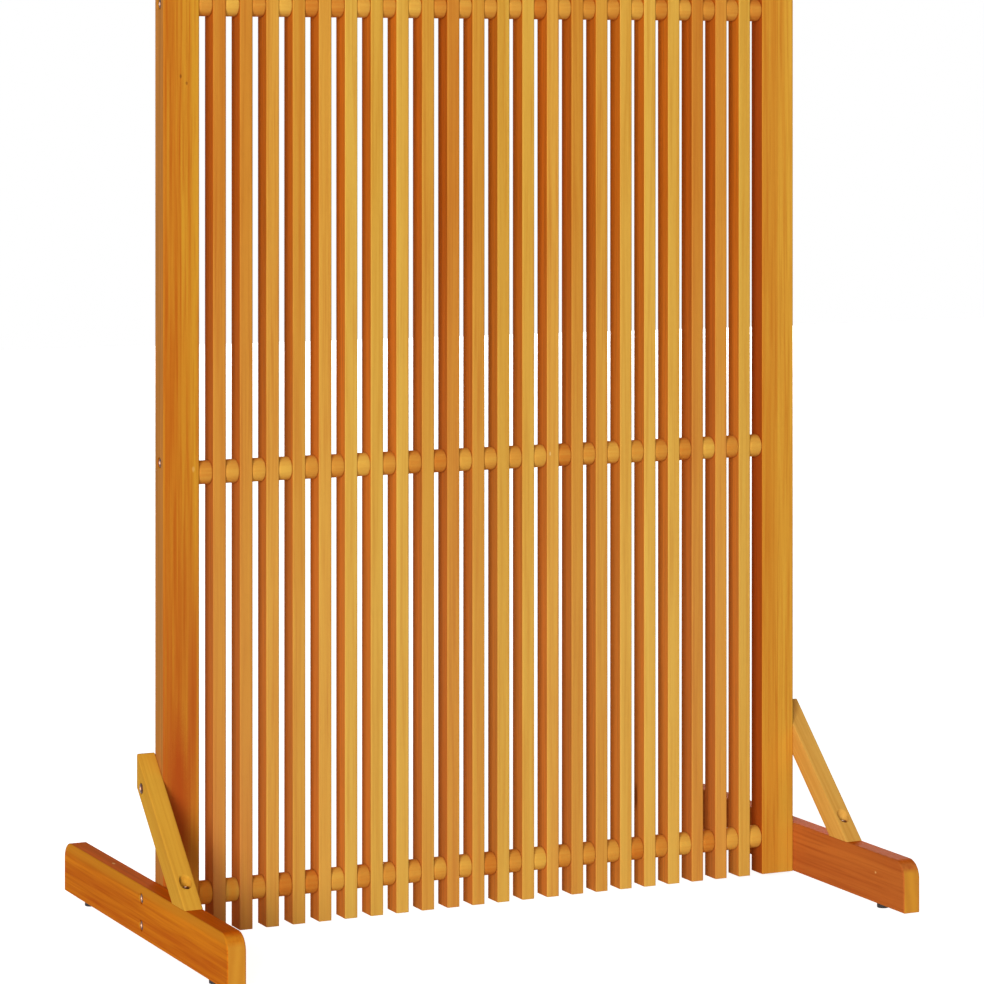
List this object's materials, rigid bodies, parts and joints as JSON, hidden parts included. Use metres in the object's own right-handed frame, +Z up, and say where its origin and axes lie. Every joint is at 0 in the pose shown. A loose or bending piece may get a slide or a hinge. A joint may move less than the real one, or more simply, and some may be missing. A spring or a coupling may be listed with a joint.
{
  "type": "garden privacy screen",
  "caption": "Freestanding garden privacy screen: upright wooden slats and round spacers strung on steel rods between posts, on cross feet with diagonal braces and screw-in glides.",
  "frame": {"origin": "on the ground, under the middle of the screen", "axes": "+X to the right along the screen, -Y to the front (the braces' side), +Z up"},
  "size_m": [0.877, 0.545, 1.6065],
  "materials": {
    "post_wood": "oiled hardwood",
    "slat_wood": "oiled hardwood",
    "spacer_wood": "oiled hardwood",
    "foot_wood": "oiled hardwood",
    "brace_wood": "oiled hardwood",
    "zinc_steel": "zinc plated",
    "dark_steel": "dark plated",
    "glide_plastic": "matt"
  },
  "bodies": {
    "screen": {"left_post": "post_wood", "right_post": "post_wood", "slat_01": "slat_wood", "slat_02": "slat_wood", "slat_03": "slat_wood", "slat_04": "slat_wood", "slat_05": "slat_wood", "slat_06": "slat_wood", "slat_07": "slat_wood", "slat_08": "slat_wood", "slat_09": "slat_wood", "slat_10": "slat_wood", "slat_11": "slat_wood", "slat_12": "slat_wood", "slat_13": "slat_wood", "slat_14": "slat_wood", "slat_15": "slat_wood", "slat_16": "slat_wood", "slat_17": "slat_wood", "slat_18": "slat_wood", "slat_19": "slat_wood", "slat_20": "slat_wood", "slat_21": "slat_wood", "slat_22": "slat_wood", "spacers_bottom": "spacer_wood", "spacers_lower": "spacer_wood", "spacers_upper": "spacer_wood", "spacers_top": "spacer_wood", "rod_bottom": "zinc_steel", "rod_lower": "zinc_steel", "rod_upper": "zinc_steel", "rod_top": "zinc_steel", "rod_nuts_left": "dark_steel", "rod_nuts_right": "dark_steel", "left_foot": "foot_wood", "right_foot": "foot_wood", "left_brace": "brace_wood", "right_brace": "brace_wood", "foot_screw_left": "dark_steel", "post_screw_left": "dark_steel", "brace_bolt_left": "dark_steel", "brace_screw_left": "dark_steel", "brace_insert_left": "zinc_steel", "insert_nuts_left": "zinc_steel", "foot_screw_right": "dark_steel", "post_screw_right": "dark_steel", "brace_bolt_right": "dark_steel", "brace_screw_right": "dark_steel", "brace_insert_right": "zinc_steel", "insert_nuts_right": "zinc_steel"},
    "front_left_glide": {"glide_front_left": "glide_plastic", "glide_stud_front_left": "zinc_steel"},
    "front_right_glide": {"glide_front_right": "glide_plastic", "glide_stud_front_right": "zinc_steel"},
    "rear_left_glide": {"glide_rear_left": "glide_plastic", "glide_stud_rear_left": "zinc_steel"},
    "rear_right_glide": {"glide_rear_right": "glide_plastic", "glide_stud_rear_right": "zinc_steel"}
  },
  "joints": [
    {"name": "front_left_glide_screw", "type": "slide", "parent": "screen", "child": "front_left_glide", "axis": [0, 0, -1], "range_m": [0, 0.008]},
    {"name": "front_right_glide_screw", "type": "slide", "parent": "screen", "child": "front_right_glide", "axis": [0, 0, -1], "range_m": [0, 0.008]},
    {"name": "rear_left_glide_screw", "type": "slide", "parent": "screen", "child": "rear_left_glide", "axis": [0, 0, -1], "range_m": [0, 0.008]},
    {"name": "rear_right_glide_screw", "type": "slide", "parent": "screen", "child": "rear_right_glide", "axis": [0, 0, -1], "range_m": [0, 0.008]}
  ]
}
